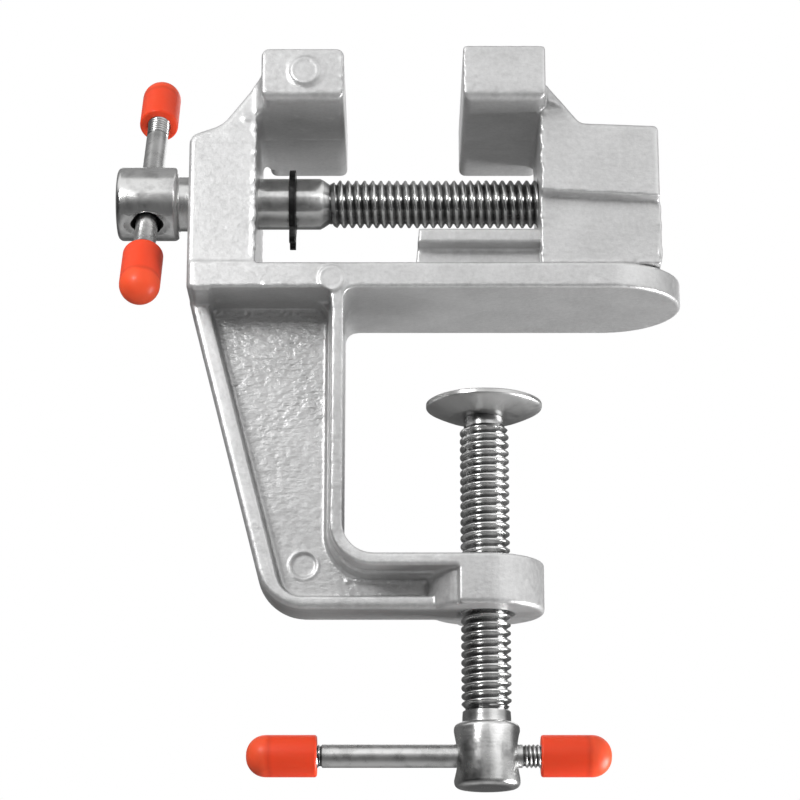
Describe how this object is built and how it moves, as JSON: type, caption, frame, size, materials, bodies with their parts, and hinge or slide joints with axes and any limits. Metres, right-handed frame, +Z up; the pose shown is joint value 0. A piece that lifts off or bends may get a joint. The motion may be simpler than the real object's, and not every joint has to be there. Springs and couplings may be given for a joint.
{
  "type": "clamp-on bench vise",
  "caption": "Small cast bench vise that clamps to a table edge: C-frame with round platform end, sliding jaw on a T-rail, lead screw and clamp screw with capped tommy bars.",
  "frame": {"origin": "clamp screw axis at the underside of the platform, where the table top is clamped", "axes": "+X is the way the moving jaw opens, +Y is the back, +Z is up along the clamp screw"},
  "size_m": [0.0758, 0.0318, 0.1032],
  "materials": {
    "cast_aluminium": "as cast, tumbled",
    "bright_steel": "bright zinc plate",
    "black_steel": "black oxide",
    "red_vinyl": "dipped vinyl, semi-gloss"
  },
  "bodies": {
    "frame": {"vise_frame": "cast_aluminium"},
    "jaw": {"moving_jaw": "cast_aluminium"},
    "lead": {"lead_screw": "bright_steel", "retaining_ring": "black_steel"},
    "lead_handle": {"lead_bar": "bright_steel", "lead_bar_cap_lower": "red_vinyl", "lead_bar_cap_upper": "red_vinyl"},
    "pad": {"clamp_pad": "bright_steel"},
    "clamp": {"clamp_screw": "bright_steel"},
    "clamp_handle": {"clamp_bar": "bright_steel", "clamp_bar_cap_left": "red_vinyl", "clamp_bar_cap_right": "red_vinyl"}
  },
  "joints": [
    {"name": "lead_spin", "type": "hinge", "parent": "frame", "child": "lead", "pos_m": [-0.035, 0, 0.01525], "axis": [1, 0, 0], "range_deg": [-4590, 5145]},
    {"name": "jaw_slide", "type": "slide", "parent": "frame", "child": "jaw", "axis": [1, 0, 0], "range_m": [-0.0157, 0.014]},
    {"name": "lead_bar_slide", "type": "slide", "parent": "lead", "child": "lead_handle", "axis": [0, 0.5592, 0.829], "range_m": [-0.014, 0.0065]},
    {"name": "pad_lift", "type": "slide", "parent": "frame", "child": "pad", "axis": [0, 0, 1], "range_m": [-0.0186, 0.0128]},
    {"name": "clamp_spin", "type": "hinge", "parent": "pad", "child": "clamp", "pos_m": [0, 0, -0.03], "axis": [0, 0, 1], "range_deg": [-6095, 4195]},
    {"name": "clamp_bar_slide", "type": "slide", "parent": "clamp", "child": "clamp_handle", "axis": [1, 0, 0], "range_m": [-0.0027, 0.0175]}
  ],
  "couplings": [
    {"joint": "lead_spin", "follows": "jaw_slide", "rad_per_m": -5712},
    {"joint": "clamp_spin", "follows": "pad_lift", "rad_per_m": 5712}
  ]
}
